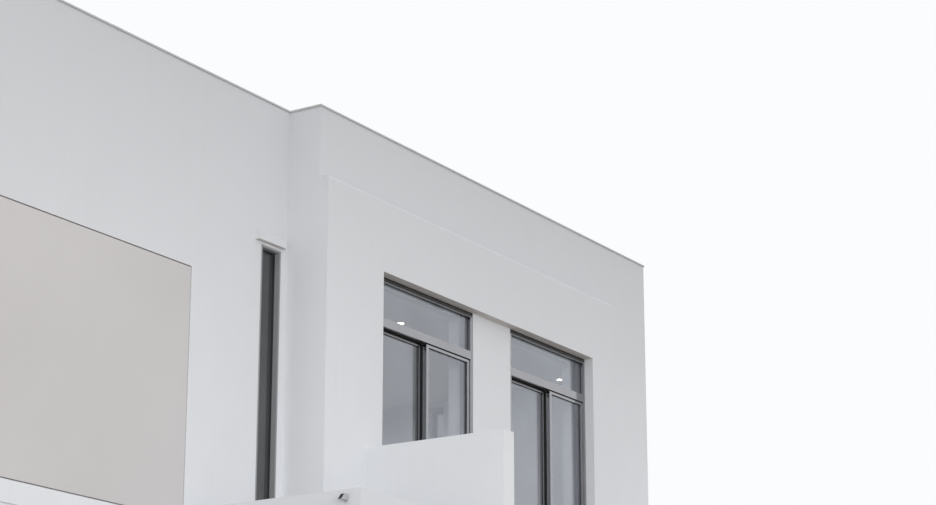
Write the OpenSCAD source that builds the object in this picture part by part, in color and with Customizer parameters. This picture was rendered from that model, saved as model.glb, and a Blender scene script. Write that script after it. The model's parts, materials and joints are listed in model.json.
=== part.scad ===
// Detached two-storey house with smooth white render, flat roof behind parapets,
// a projecting front panel, recessed aluminium windows and a low terrace in front.
// X runs along the front to the right, Y into the house, Z up. Millimetres.

/* [Plan] */
// Width of the set-back left part of the front
left_w = 6000; // [5600:100:7500]
// Width of the right part of the front
right_w = 5550; // [5300:50:6500]
// Depth from the front panel to the back wall
depth = 10400; // [9400:100:12000]
// How far the left part stands behind the front panel
left_setback = 410; // [390:10:900]
// How far the band under the parapet stands behind the front panel
band_setback = 95; // [60:5:120]
// Thickness of the outer walls
wall_t = 250; // [200:10:300]

/* [Terrace] */
// How far the ground-floor front and its terrace reach forward
porch_d = 1320; // [1200:10:2000]
// How far the terrace reaches past the left side of the right part
porch_left = 1345; // [1000:5:1400]
// Top of the low terrace parapet
porch_top = 4110; // [3950:10:4200]
// Distance of a wing wall from the side of the right part
wing_inset = 555; // [500:5:600]
// Thickness of a wing wall
wing_t = 150; // [100:10:180]
// Top of the wing walls
wing_top = 4880; // [4600:10:5000]

/* [Levels] */
// Height of the ground slab above ground
slab_t = 120; // [100:10:200]
// Finished level of the upper floor
floor_z = 3620; // [3500:10:3650]
// Thickness of the upper floor
floor_t = 300; // [250:10:350]
// Level of the upper ceiling
ceiling_z = 6500; // [6490:10:6560]
// Top of the rendered parapet
parapet_z = 7665; // [7550:5:7900]
// Top of the projecting front panel
ledge_z = 7055; // [6950:5:7200]

/* [Front panel] */
// Width of the projecting panel
panel_w = 4700; // [4500:10:4900]
// Radius of its rounded top edge
panel_round = 32; // [15:1:45]
// Left edge of the window recess
recess_x = 796; // [760:1:840]
// Right edge of the window recess
recess_end = 4305; // [4200:5:4400]
// Depth of the recess down to the pier between the windows
recess_d = 85; // [70:1:140]
// Head of the recess
head_z = 6425; // [6350:5:6480]
// Left edge of the pier between the windows
pier_x = 2310; // [2200:5:2350]
// Width of the pier
pier_w = 625; // [500:5:700]

/* [Windows] */
// Depth of a sliding window frame
frame_d = 110; // [100:5:120]
// Face width of a window frame at its sides
frame_face = 32; // [28:1:50]
// Height of the bar between the sashes and the pane above
transom_h = 74; // [50:1:80]
// Distance from the head down to the bar
highlight_h = 355; // [300:5:400]
// Face width of a sash stile
stile = 36; // [32:1:60]
// Width of the windows on the other walls
plain_window_w = 1517; // [1300:1:1700]
// Set-back of the frames in the other walls
reveal_d = 60; // [50:5:100]
// Width of a slot window
slot_w = 258; // [200:2:300]
// Depth from the wall to the glass of a slot window
slot_glass_d = 50; // [40:1:60]

/* [Entrance] */
// Width of the door opening
door_w = 1000; // [900:10:1200]
// Height of the door opening
door_h = 2400; // [2300:10:2600]

/* [Trim] */
// Thickness of the metal parapet capping
cap_t = 15; // [12:1:25]
// How far the capping stands over the wall
cap_over = 8; // [5:1:20]
// Width of the joint around the cladding panel
joint_w = 10; // [6:1:14]

/* [Hidden] */

render_white = "#d9dadc";
cladding_beige = "#c9c5c2";
frame_grey = "#57585a";
glass_blue = [0.55, 0.60, 0.66, 0.45];
metal_grey = "#8d8f91";
concrete_grey = "#a6a5a2";
door_grey = "#4a4846";

// Plan lines, measured from the front corner of the right part.
inner_left = -left_w + wall_t;
inner_right = right_w - wall_t;
inner_back = depth - wall_t;
left_inside_y = left_setback + wall_t;
right_inside_y = band_setback + wall_t;
porch_inside_x = -porch_left + wall_t;
porch_inside_y = -porch_d + wall_t;

// Levels of the openings.
sill_low = 40;
sill_high = 900;
storey = floor_z - slab_t;
ground_head = head_z - storey;
frame_set = recess_d + 8;

// Sliding windows: the sashes run on two tracks, one behind the other.
track_gap = 10;
sash_t = 38;
outer_track = 10;
inner_track = 62;
meet_x = 40;
meet_lap = 4;
end_face = 44;
top_rail = 22;
low_rail = 72;
pane_t = 6;
high_pane_y = 28;
short_h = head_z - floor_z - sill_high;
tall_h = head_z - floor_z - sill_low;

// Sloping sills under the windows of the other walls.
sill_over = cap_over;
sill_drip = 14;
sill_edge = 4;
sill_rise = 14;

// Hood over each slot window, with a chamfer along its front.
hood_d = 40;
hood_h = 80;
hood_left = 77;
hood_right = 21;
hood_gap = 22;
slot_head = 6440;
slot_sill = 3850;
slot_face = 18;
slot_frame_d = 70;
hood_chamfer = 12;
hood_slope = 6;

// Cladding panel and the joint under it.
clad_right = -1200;
clad_left = -4900;
clad_low = 4080;
clad_high = 6030;
clad_t = 30;
storey_joint_z = 3900;

// Ceiling, and the roof deck with its gutter along the back.
ceiling_t = 200;
deck_low = ceiling_z + ceiling_t;
deck_front_z = 7200;
deck_back_z = 6900;
gutter_w = 300;
gutter_z = deck_low + 60;
seam_pitch = 460;
seam_t = 24;
seam_h = 38;
seam_first = 230;
seam_gap = 12;

// Entrance door.
door_set = 80;
door_frame_w = 50;
door_frame_d = 120;
threshold_h = 20;
leaf_set = door_set + 30;
leaf_t = 50;
groove_w = 12;
groove_d = 6;
handle_d = 32;
handle_h = 900;
handle_z = 650;
handle_off = 60;
handle_edge = 130;

// Rainwater goods on the back wall.
pipe_d = 90;
pipe_gap = 25;
rainhead_w = 300;
rainhead_d = 180;
rainhead_h = 260;
rainhead_z = gutter_z - 160;
rainhead_floor = 112;
rainhead_t = 3;
rainhead_taper = 108;
rainhead_rim = 38;
rainhead_lip = 6;
scupper_w = 180;
scupper_h = 80;
pipe_x = [-5200, 4750];

// Small lights: one on the terrace parapet and two in the ceiling.
wall_light_at = [-1200, 4030];
light_w = 36;
light_side = [[-87, -3], [-47, 42], [-12, 42], [-6, 34], [-6, 3], [-15, -3]];
light_foot_d = 26;
light_foot_t = 16;
downlight_d = 100;
downlight_t = 8;
downlight_at = [[2460, 980], [5140, 850]];

// Where the openings sit: centre along the wall, then sill and head.
front_pairs = [[(recess_x + pier_x) / 2, pier_x - recess_x],
    [(pier_x + pier_w + recess_end) / 2, recess_end - pier_x - pier_w]];
ground_pair_x = -4400;
door_x = -2350;
door_slot_x = -1560;
side_pair_y = [2900, 7600];
back_pair_x = [-4000, -250, 3500];
right_slot_y = [2500, 5200, 7900];
facade_slot_x = -208;

// The origin is the middle of the whole footprint, at ground level.
x_low = -left_w - cap_over;
x_high = right_w + hood_d;
y_low = -porch_d;
y_high = depth + rainhead_d;
x_mid = (x_low + x_high) / 2;
y_mid = (y_low + y_high) / 2;

module site() {
    translate([-x_mid, -y_mid, 0]) children();
}

module block(low, high) {
    translate(low) cube(high - low);
}

// An outline in X and Z, with its thickness along Y.
module across(t) {
    rotate([90, 0, 0]) translate([0, 0, -t]) linear_extrude(t) children();
}

// An outline in Y and Z, with its thickness along X.
module sideways(t) {
    rotate([90, 0, 90]) linear_extrude(t) children();
}

module rect(a0, a1, z0, z1) {
    translate([a0, z0]) square([a1 - a0, z1 - z0]);
}

module hole(centre, w, z0, z1) {
    rect(centre - w / 2, centre + w / 2, z0, z1);
}

// Sliding window with two sashes under a fixed pane. Its origin is the middle
// of its outer face at the sill, and it reaches into +Y.
function clear_w(w) = w - 2 * frame_face;
function sash_h(h) = h - highlight_h - transom_h - end_face - track_gap;
function outer_w(w) = clear_w(w) / 2 - meet_x;
function inner_w(w) = clear_w(w) / 2 + meet_x + meet_lap;

module pair_frame(w, h) {
    across(frame_d) difference() {
        rect(-w / 2, w / 2, 0, h);
        hole(0, clear_w(w), end_face, h - highlight_h - transom_h);
        hole(0, clear_w(w), h - highlight_h, h - end_face);
    }
}

module sash(w, h) {
    across(sash_t) difference() {
        square([w, h]);
        rect(stile, w - stile, low_rail, h - top_rail);
    }
}

// The right sash runs on the outer track and meets the left one right of the middle.
module pair_sashes(w, h) {
    translate([meet_x, outer_track, end_face]) sash(outer_w(w), sash_h(h));
    translate([-clear_w(w) / 2, inner_track, end_face]) sash(inner_w(w), sash_h(h));
}

module pane(w, h) {
    translate([stile, (sash_t - pane_t) / 2, low_rail])
        cube([w - 2 * stile, pane_t, h - low_rail - top_rail]);
}

module pair_glass(w, h) {
    translate([meet_x, outer_track, end_face]) pane(outer_w(w), sash_h(h));
    translate([-clear_w(w) / 2, inner_track, end_face]) pane(inner_w(w), sash_h(h));
    translate([-clear_w(w) / 2, high_pane_y, h - highlight_h])
        cube([clear_w(w), pane_t, highlight_h - end_face]);
}

module slot_frame(h) {
    across(slot_frame_d) difference() {
        hole(0, slot_w, 0, h);
        hole(0, slot_w - 2 * slot_face, slot_face, h - slot_face);
    }
}

module slot_glass(h) {
    translate([0, slot_glass_d, 0]) across(pane_t)
        hole(0, slot_w - 2 * slot_face, slot_face, h - slot_face);
}

module hood() {
    translate([-slot_w / 2 - hood_left, 0, 0]) sideways(slot_w + hood_left + hood_right)
        polygon([[0, 0], [-hood_d, 0], [-hood_d, hood_h - hood_chamfer],
            [-hood_d + hood_chamfer, hood_h], [0, hood_h + hood_slope]]);
}

// The sill's origin is the window frame's outer face; it ends in a drip before the wall.
module sill() {
    lip = -reveal_d - sill_over;
    translate([-plain_window_w / 2, 0, 0]) sideways(plain_window_w)
        polygon([[0, 0], [0, sill_rise], [lip, sill_edge], [lip, -sill_drip],
            [-reveal_d, -sill_drip], [-reveal_d, 0]]);
}

// The four outer wall faces: children are drawn as on the front and turned.
module on_left(y, z) {
    translate([-left_w, y, z]) rotate([0, 0, -90]) children();
}

module on_right(y, z) {
    translate([right_w, y, z]) rotate([0, 0, 90]) children();
}

module on_back(x, z) {
    translate([x, depth, z]) rotate([0, 0, 180]) children();
}

// Every window of the other walls, as children called with its height.
module at_rear_pairs() {
    for (y = side_pair_y, z = [0, storey])
        on_left(y, slab_t + z + sill_high) translate([0, reveal_d, 0]) children(0);
    for (x = back_pair_x)
        on_back(x, floor_z + sill_high) translate([0, reveal_d, 0]) children(0);
    for (x = [back_pair_x[0], back_pair_x[2]])
        on_back(x, slab_t + sill_high) translate([0, reveal_d, 0]) children(0);
    on_back(back_pair_x[1], slab_t + sill_low) translate([0, reveal_d, 0]) children(1);
    translate([ground_pair_x, left_setback + reveal_d, slab_t + sill_low]) children(1);
}

module at_slots() {
    translate([facade_slot_x, left_setback, slot_sill]) children(0);
    translate([door_slot_x, left_setback, slot_sill - storey]) children(0);
    for (y = right_slot_y, z = [0, storey]) on_right(y, slot_sill - z) children(0);
}

module ground_slab() {
    inset = 15;
    site() color(concrete_grey) linear_extrude(slab_t) polygon([
        [-left_w + inset, left_setback + inset],
        [-porch_left + inset, left_setback + inset],
        [-porch_left + inset, -porch_d + inset],
        [right_w - inset, -porch_d + inset],
        [right_w - inset, depth - inset],
        [-left_w + inset, depth - inset]]);
}

module ground_front_wall() {
    site() color(render_white) translate([0, left_setback, 0]) across(wall_t) difference() {
        rect(-left_w, -porch_left, slab_t, floor_z);
        hole(ground_pair_x, plain_window_w, slab_t + sill_low, ground_head);
        hole(door_x, door_w, slab_t - 1, slab_t + door_h);
        hole(door_slot_x, slot_w, slot_sill - storey, slot_head - storey);
    }
}

module ground_left_wall() {
    site() color(render_white) translate([-left_w, 0, 0]) sideways(wall_t) difference() {
        rect(left_inside_y, depth, slab_t, floor_z);
        for (y = side_pair_y) hole(y, plain_window_w, slab_t + sill_high, ground_head);
    }
}

module ground_right_wall() {
    site() color(render_white) translate([inner_right, 0, 0]) sideways(wall_t) difference() {
        rect(band_setback, depth, slab_t, floor_z);
        for (y = right_slot_y) hole(y, slot_w, slot_sill - storey, slot_head - storey);
    }
}

module ground_back_wall() {
    site() color(render_white) translate([0, inner_back, 0]) across(wall_t) difference() {
        rect(inner_left, inner_right, slab_t, floor_z);
        hole(back_pair_x[0], plain_window_w, slab_t + sill_high, ground_head);
        hole(back_pair_x[1], plain_window_w, slab_t + sill_low, ground_head);
        hole(back_pair_x[2], plain_window_w, slab_t + sill_high, ground_head);
    }
}

module porch_left_wall() {
    site() color(render_white)
        block([-porch_left, porch_inside_y, slab_t], [porch_inside_x, left_setback, porch_top]);
}

module porch_front_wall() {
    site() color(render_white) translate([0, -porch_d, 0]) across(wall_t) difference() {
        rect(-porch_left, right_w, slab_t, porch_top);
        rect(recess_x, recess_end, slab_t + sill_low, ground_head);
    }
}

module porch_right_wall() {
    site() color(render_white)
        block([inner_right, porch_inside_y, slab_t], [right_w, band_setback, porch_top]);
}

module upper_floor() {
    site() color(concrete_grey)
        block([inner_left, left_inside_y, floor_z - floor_t], [inner_right, inner_back, floor_z]);
}

module terrace_slab() {
    site() color(concrete_grey)
        block([porch_inside_x, porch_inside_y, floor_z - floor_t],
            [inner_right, left_inside_y, floor_z]);
}

module left_facade() {
    site() color(render_white) translate([0, left_setback, 0]) difference() {
        across(wall_t) difference() {
            rect(-left_w, 0, floor_z, parapet_z);
            hole(facade_slot_x, slot_w, slot_sill, slot_head);
        }
        block([clad_left - joint_w, -1, clad_low - joint_w],
            [clad_right + joint_w, clad_t, clad_high + joint_w]);
        block([-left_w - 1, -1, storey_joint_z], [-porch_left, joint_w, storey_joint_z + joint_w]);
    }
}

module return_wall() {
    site() color(render_white)
        block([0, right_inside_y, floor_z], [wall_t, left_inside_y, parapet_z]);
}

module right_facade() {
    site() color(render_white) translate([0, band_setback, 0]) across(wall_t) difference() {
        rect(0, right_w, floor_z, parapet_z);
        rect(recess_x, recess_end, floor_z + sill_low, head_z);
    }
}

module upper_left_wall() {
    site() color(render_white) translate([-left_w, 0, 0]) sideways(wall_t) difference() {
        rect(left_inside_y, depth, floor_z, parapet_z);
        for (y = side_pair_y) hole(y, plain_window_w, floor_z + sill_high, head_z);
    }
}

module upper_right_wall() {
    site() color(render_white) translate([inner_right, 0, 0]) sideways(wall_t) difference() {
        rect(right_inside_y, depth, floor_z, parapet_z);
        for (y = right_slot_y) hole(y, slot_w, slot_sill, slot_head);
    }
}

module upper_back_wall() {
    site() color(render_white) translate([0, inner_back, 0]) across(wall_t) difference() {
        rect(inner_left, inner_right, floor_z, parapet_z);
        for (x = back_pair_x) hole(x, plain_window_w, floor_z + sill_high, head_z);
        for (x = pipe_x) hole(x, scupper_w, gutter_z, gutter_z + scupper_h);
    }
}

// The panel stands proud of the wall and ends short of the right corner.
module front_panel() {
    r = panel_round;
    site() color(render_white) difference() {
        sideways(panel_w) {
            rect(0, band_setback, floor_z, ledge_z - r);
            rect(r, band_setback, floor_z, ledge_z);
            translate([r, ledge_z - r]) circle(r, $fn = 48);
        }
        translate([0, -1, 0]) across(band_setback + 2)
            rect(recess_x, recess_end, floor_z + sill_low, head_z);
    }
}

module window_piers() {
    site() color(render_white) for (at = [[0, floor_z, head_z],
            [-porch_d, slab_t, ground_head]]) {
        back = at[0] == 0 ? right_inside_y : porch_inside_y;
        block([pier_x, at[0] + recess_d, at[1] + sill_low], [pier_x + pier_w, back, at[2]]);
    }
}

module wing_walls() {
    site() color(render_white) for (x = [wing_inset, right_w - wing_inset - wing_t]) {
        y_back = x < panel_w ? 0 : band_setback;
        block([x, -porch_d, porch_top], [x + wing_t, y_back, wing_top]);
        block([x, porch_inside_y, floor_z], [x + wing_t, y_back, porch_top]);
    }
}

module cladding_panel() {
    site() color(cladding_beige)
        block([clad_left, left_setback, clad_low], [clad_right, left_setback + clad_t, clad_high]);
}

module window_hoods() {
    rise = slot_head - slot_sill + hood_gap;
    site() color(render_white) at_slots() translate([0, 0, rise]) hood();
}

// Everything inside the upper walls, as a plan outline.
module upper_inside() {
    polygon([[inner_left, left_inside_y], [wall_t, left_inside_y], [wall_t, right_inside_y],
        [inner_right, right_inside_y], [inner_right, inner_back], [inner_left, inner_back]]);
}

module ceiling() {
    site() color(concrete_grey) translate([0, 0, ceiling_z]) linear_extrude(ceiling_t)
        upper_inside();
}

// The deck falls to a gutter along the back parapet.
module roof_deck() {
    gutter_y = inner_back - gutter_w;
    site() color(metal_grey) intersection() {
        translate([inner_left, 0, 0]) sideways(inner_right - inner_left) polygon([
            [right_inside_y, deck_low], [right_inside_y, deck_front_z], [gutter_y, deck_back_z],
            [gutter_y, gutter_z], [inner_back, gutter_z], [inner_back, deck_low]]);
        translate([0, 0, deck_low]) linear_extrude(parapet_z - deck_low) upper_inside();
    }
}

// Ribs where the roof sheets join, from the parapet flashing down to the gutter.
module roof_seams() {
    gutter_y = inner_back - gutter_w;
    fall = (deck_front_z - deck_back_z) / (gutter_y - right_inside_y);
    site() color(metal_grey)
        for (x = [inner_left + seam_first : seam_pitch : inner_right - seam_t]) {
            y = (x - seam_t < wall_t ? left_inside_y : right_inside_y) + seam_gap;
            z = deck_front_z - fall * (y - right_inside_y);
            translate([x - seam_t / 2, 0, 0]) sideways(seam_t) polygon([
                [y, z], [gutter_y, deck_back_z], [gutter_y, deck_back_z + seam_h], [y, z + seam_h]]);
        }
}

module capping_strip(low, high) {
    block([low[0], low[1], parapet_z], [high[0], high[1], parapet_z + cap_t]);
}

module front_capping() {
    c = cap_over;
    site() color(metal_grey) union() {
        capping_strip([-left_w - c, left_setback - c], [c, left_inside_y + c]);
        capping_strip([-c, band_setback - c], [wall_t + c, left_inside_y + c]);
        capping_strip([-c, band_setback - c], [right_w + c, right_inside_y + c]);
    }
}

module rear_capping() {
    c = cap_over;
    site() color(metal_grey) union() {
        capping_strip([-left_w - c, left_inside_y + c], [inner_left + c, depth + c]);
        capping_strip([inner_right - c, right_inside_y + c], [right_w + c, depth + c]);
        capping_strip([-left_w - c, inner_back - c], [right_w + c, depth + c]);
    }
}

module upper_window_frames() {
    site() color(frame_grey) for (p = front_pairs)
        translate([p[0], frame_set, floor_z + sill_low]) pair_frame(p[1], tall_h);
}

module upper_window_sashes() {
    site() color(frame_grey) for (p = front_pairs)
        translate([p[0], frame_set, floor_z + sill_low]) pair_sashes(p[1], tall_h);
}

module upper_window_glass() {
    site() color(glass_blue) for (p = front_pairs)
        translate([p[0], frame_set, floor_z + sill_low]) pair_glass(p[1], tall_h);
}

module ground_window_frames() {
    site() color(frame_grey) for (p = front_pairs)
        translate([p[0], frame_set - porch_d, slab_t + sill_low]) pair_frame(p[1], tall_h);
}

module ground_window_sashes() {
    site() color(frame_grey) for (p = front_pairs)
        translate([p[0], frame_set - porch_d, slab_t + sill_low]) pair_sashes(p[1], tall_h);
}

module ground_window_glass() {
    site() color(glass_blue) for (p = front_pairs)
        translate([p[0], frame_set - porch_d, slab_t + sill_low]) pair_glass(p[1], tall_h);
}

module rear_window_frames() {
    site() color(frame_grey) at_rear_pairs() {
        pair_frame(plain_window_w, short_h);
        pair_frame(plain_window_w, tall_h);
    }
}

module rear_window_sashes() {
    site() color(frame_grey) at_rear_pairs() {
        pair_sashes(plain_window_w, short_h);
        pair_sashes(plain_window_w, tall_h);
    }
}

module rear_window_glass() {
    site() color(glass_blue) at_rear_pairs() {
        pair_glass(plain_window_w, short_h);
        pair_glass(plain_window_w, tall_h);
    }
}

module window_sills() {
    site() color(metal_grey) at_rear_pairs() {
        sill();
        sill();
    }
}

module slot_window_frames() {
    site() color(frame_grey) at_slots() slot_frame(slot_head - slot_sill);
}

module slot_window_glass() {
    site() color(glass_blue) at_slots() slot_glass(slot_head - slot_sill);
}

module door_frame() {
    site() color(frame_grey) translate([door_x, left_setback + door_set, slab_t])
        across(door_frame_d) difference() {
            hole(0, door_w, 0, door_h);
            hole(0, door_w - 2 * door_frame_w, threshold_h, door_h - door_frame_w);
        }
}

module entry_door() {
    leaf_w = door_w - 2 * door_frame_w;
    site() color(door_grey) translate([door_x, left_setback + leaf_set, slab_t])
        difference() {
            across(leaf_t) hole(0, leaf_w, threshold_h, door_h - door_frame_w);
            for (k = [-2 : 2])
                translate([k * leaf_w / 6, -1, 0]) across(groove_d + 1)
                    hole(0, groove_w, 0, door_h);
        }
}

module door_handle() {
    post_d = 18;
    post_z = 120;
    edge_x = door_x + door_w / 2 - handle_edge;
    site() color(metal_grey)
        translate([edge_x, left_setback + leaf_set, slab_t + handle_z]) {
            translate([0, -handle_off, 0]) cylinder(h = handle_h, d = handle_d, $fn = 32);
            for (z = [post_z, handle_h - post_z]) translate([0, 0, z])
                rotate([90, 0, 0]) cylinder(h = handle_off, d = post_d, $fn = 24);
        }
}

// Small light on the outer face of the low terrace parapet, with a front that slants up.
module wall_light() {
    site() color(metal_grey) translate([-porch_left, wall_light_at[0], wall_light_at[1]]) {
        rotate([0, -90, 0]) cylinder(h = light_foot_t, d = light_foot_d, $fn = 40);
        translate([0, -light_w / 2, 0]) across(light_w) polygon(light_side);
    }
}

module downlights() {
    site() color("#f2f0ea") for (p = downlight_at)
        translate([p[0], p[1], ceiling_z - downlight_t])
            cylinder(h = downlight_t, d = downlight_d, $fn = 40);
}

// Open boxes that catch the water from the scuppers and taper down to the pipe.
module rainhead_body() {
    out = rainhead_w / 2 - rainhead_lip;
    front = rainhead_d - rainhead_lip;
    spout = pipe_d / 2 + rainhead_lip;
    spout_y = pipe_gap + pipe_d + rainhead_lip;
    intersection() {
        across(rainhead_d) polygon([[-spout, 0], [spout, 0], [out, rainhead_taper],
            [out, rainhead_h], [-out, rainhead_h], [-out, rainhead_taper]]);
        translate([-out, 0, 0]) sideways(2 * out) polygon([[0, 0], [spout_y, 0],
            [front, rainhead_taper], [front, rainhead_h], [0, rainhead_h]]);
    }
}

module rainheads() {
    inside = rainhead_w / 2 - rainhead_lip - rainhead_t;
    inside_y = rainhead_d - rainhead_lip - rainhead_t;
    site() color(render_white) for (x = pipe_x)
        translate([x, depth, rainhead_z]) difference() {
            union() {
                rainhead_body();
                block([-rainhead_w / 2, 0, rainhead_h - rainhead_rim],
                    [rainhead_w / 2, rainhead_d, rainhead_h]);
            }
            block([-inside, rainhead_t, rainhead_floor], [inside, inside_y, rainhead_h + 1]);
            block([-scupper_w / 2, -1, gutter_z - rainhead_z],
                [scupper_w / 2, rainhead_t + 1, gutter_z - rainhead_z + scupper_h]);
        }
}

module downpipes() {
    site() color(render_white) for (x = pipe_x)
        translate([x, depth + pipe_gap + pipe_d / 2, 0])
            cylinder(h = rainhead_z, d = pipe_d, $fn = 48);
}

ground_slab();
ground_front_wall();
ground_left_wall();
ground_right_wall();
ground_back_wall();
porch_left_wall();
porch_front_wall();
porch_right_wall();
upper_floor();
terrace_slab();
left_facade();
return_wall();
right_facade();
upper_left_wall();
upper_right_wall();
upper_back_wall();
front_panel();
window_piers();
wing_walls();
cladding_panel();
window_hoods();
ceiling();
roof_deck();
roof_seams();
front_capping();
rear_capping();
upper_window_frames();
upper_window_sashes();
upper_window_glass();
ground_window_frames();
ground_window_sashes();
ground_window_glass();
rear_window_frames();
rear_window_sashes();
rear_window_glass();
window_sills();
slot_window_frames();
slot_window_glass();
door_frame();
entry_door();
door_handle();
wall_light();
downlights();
rainheads();
downpipes();
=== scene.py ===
import json
import math

import bmesh
import bpy
from mathutils import Matrix, Vector


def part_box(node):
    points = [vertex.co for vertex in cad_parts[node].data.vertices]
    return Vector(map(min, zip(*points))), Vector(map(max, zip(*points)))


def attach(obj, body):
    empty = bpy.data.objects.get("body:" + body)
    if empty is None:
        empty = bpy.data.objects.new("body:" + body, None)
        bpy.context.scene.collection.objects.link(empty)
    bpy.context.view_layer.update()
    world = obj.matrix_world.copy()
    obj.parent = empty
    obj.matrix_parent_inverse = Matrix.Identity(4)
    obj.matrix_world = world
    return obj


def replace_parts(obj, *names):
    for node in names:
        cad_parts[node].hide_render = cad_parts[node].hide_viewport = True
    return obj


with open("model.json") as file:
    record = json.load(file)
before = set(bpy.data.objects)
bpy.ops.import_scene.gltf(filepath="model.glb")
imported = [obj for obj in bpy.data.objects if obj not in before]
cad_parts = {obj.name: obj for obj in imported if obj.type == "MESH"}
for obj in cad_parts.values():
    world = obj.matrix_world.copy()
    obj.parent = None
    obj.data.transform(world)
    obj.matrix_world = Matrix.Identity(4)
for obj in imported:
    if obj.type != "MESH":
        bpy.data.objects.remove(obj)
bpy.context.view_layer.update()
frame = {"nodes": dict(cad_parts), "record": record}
nodes = frame["nodes"]
scene = bpy.context.scene
scene.view_settings.view_transform = "Standard"
print("frame loaded:", len(nodes), "nodes")


# small helpers for colours and shader nodes

def linear(hexColour):
    channels = [int(hexColour[i:i + 2], 16) / 255 for i in (1, 3, 5)]
    return (*[c / 12.92 if c <= 0.04045 else ((c + 0.055) / 1.055) ** 2.4 for c in channels], 1.0)


def spots(place, sizeMm, **inputs):
    # inputs of a texture with spots of this real size
    return {"Vector": place, "Scale": 1000 / sizeMm, **inputs}


def addNode(tree, kind, inputs=None, **settings):
    # inputs maps a socket's name or number to a value, to the socket that feeds it, or to
    # a node whose first output does
    node = tree.nodes.new("ShaderNode" + kind)
    for key, value in settings.items():
        setattr(node, key, value)
    for key, value in (inputs or {}).items():
        if isinstance(value, bpy.types.Node):
            value = value.outputs[0]
        if isinstance(value, bpy.types.NodeSocket):
            tree.links.new(value, node.inputs[key])
        else:
            node.inputs[key].default_value = value
    return node


def newMaterial(name):
    # an empty material, its node tree and the place on its object in metres
    material = bpy.data.materials.new(name)
    material.use_nodes = True
    tree = material.node_tree
    tree.nodes.clear()
    return material, tree, addNode(tree, "TexCoord").outputs["Object"]


def closeMaterial(material, shader):
    addNode(material.node_tree, "OutputMaterial", {"Surface": shader})
    return material


def stretchedNoise(tree, place, sizesMm, inputs):
    # noise with spots of these sizes along X, Y and Z
    stretch = addNode(tree, "Mapping", {
        "Vector": place, "Scale": [1000 / size for size in sizesMm]})
    return addNode(tree, "TexNoise", {"Vector": stretch, "Scale": 1.0, **inputs})


def overlay(tree, colour, pattern, span, tone, most=1.0):
    # lays a tone over a colour, more of it as the pattern goes through this span
    share = addNode(tree, "MapRange", {
        "Value": pattern, "From Min": span[0], "From Max": span[1], "To Max": most})
    mix = addNode(tree, "Mix", {0: share, 6: colour, 7: linear(tone)}, data_type="RGBA")
    return mix.outputs[2]


def closeSurface(material, colour, roughness, gloss, reliefs, sockets):
    # ends a solid surface; gloss is a pattern with the span of it that raises the
    # roughness, each relief a pattern with its strength and its depth in millimetres
    tree = material.node_tree
    polish = addNode(tree, "MapRange", {
        "Value": gloss[0], "From Min": gloss[1], "From Max": gloss[2],
        "To Min": roughness[0], "To Max": roughness[1]})
    bump = None
    for pattern, strength, depthMm in reliefs:
        under = {"Normal": bump} if bump else {}
        bump = addNode(tree, "Bump", {
            "Height": pattern, "Strength": strength, "Distance": depthMm / 1000, **under})
    shader = addNode(tree, "BsdfPrincipled", {
        "Base Color": colour, "Roughness": polish, "Normal": bump, **sockets})
    return closeMaterial(material, shader)


wallPaint = {
    "colour": "#e7e9ec",
    "shade": "#e2e4e7",
    "dust": "#b7b6b0",
    "topShade": "#c8cacd",      # painted shade: upper walls a little darker, for the light that falls off towards the top
    "topShadeMetres": (4.5, 7.7),
    "undersideShade": "#c8c4c0",   # painted shade: faces that look down darker and warmer, for the little light they get
    "undersideShadeSlope": (-0.3, -0.9),
    "cloudMm": 2600,          # slow change between batches and drying
    "patchMm": 260,           # trowel passes
    "streakMm": (70, 70, 2400),
    "streakShare": 0.05,
    "grainMm": 26,            # sand grain is 1 mm; drawn coarser so that it shows at all
    "grainDepthMm": 0.25,
    "waveMm": 900,
    "waveDepthMm": 1.6,
    "roughness": (0.62, 0.78),
}
porchShadePaint = {**wallPaint, "colour": "#dadde1", "shade": "#d5d8dc"}  # painted shade: a darker copy of the wall paint for the porch walls


def makeRender(name, values):
    # Trowelled lime-cement render under exterior paint: matt, almost even, with the slow
    # waves of the trowel, a soft grain and faint rain streaks that run down the wall.
    # Painted shade: darker and warmer on its undersides, and a little darker towards the top.
    material, tree, place = newMaterial(name)
    cloud = addNode(tree, "TexNoise", spots(place, values["cloudMm"], Detail=3.0))
    patch = addNode(tree, "TexNoise", spots(place, values["patchMm"], Detail=5.0, Roughness=0.6))
    wave = addNode(tree, "TexNoise", spots(place, values["waveMm"], Detail=1.0))
    grain = addNode(tree, "TexNoise", spots(place, values["grainMm"], Detail=5.0, Roughness=0.7))
    streak = stretchedNoise(tree, place, values["streakMm"], {"Detail": 4.0, "Roughness": 0.65})
    blend = addNode(tree, "Math", {0: patch, 1: 0.35, 2: cloud}, operation="MULTIPLY_ADD")
    # height and slope of each point, for the painted shade towards the top and on undersides
    height = addNode(tree, "SeparateXYZ", {0: place})
    slope = addNode(tree, "SeparateXYZ", {0: place.node.outputs["Normal"]})
    colour = linear(values["colour"])
    for pattern, span, tone, most in (
            (blend, (0.5, 0.85), "shade", 1.0),
            (height.outputs["Z"], values["topShadeMetres"], "topShade", 1.0),
            (slope.outputs["Z"], values["undersideShadeSlope"], "undersideShade", 1.0),
            (streak, (0.52, 0.8), "dust", values["streakShare"])):
        colour = overlay(tree, colour, pattern, span, values[tone], most)
    return closeSurface(
        material, colour, values["roughness"], (patch, 0.3, 0.7),
        [(wave, 0.6, values["waveDepthMm"]), (grain, 0.7, values["grainDepthMm"])],
        {"IOR": 1.48, "Specular IOR Level": 0.35})


wallRender = makeRender("trowelled render, painted", wallPaint)
# a darker copy of the same render for the porch walls: painted shade
porchShadedRender = makeRender("trowelled render, darker for painted shade", porchShadePaint)

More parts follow.
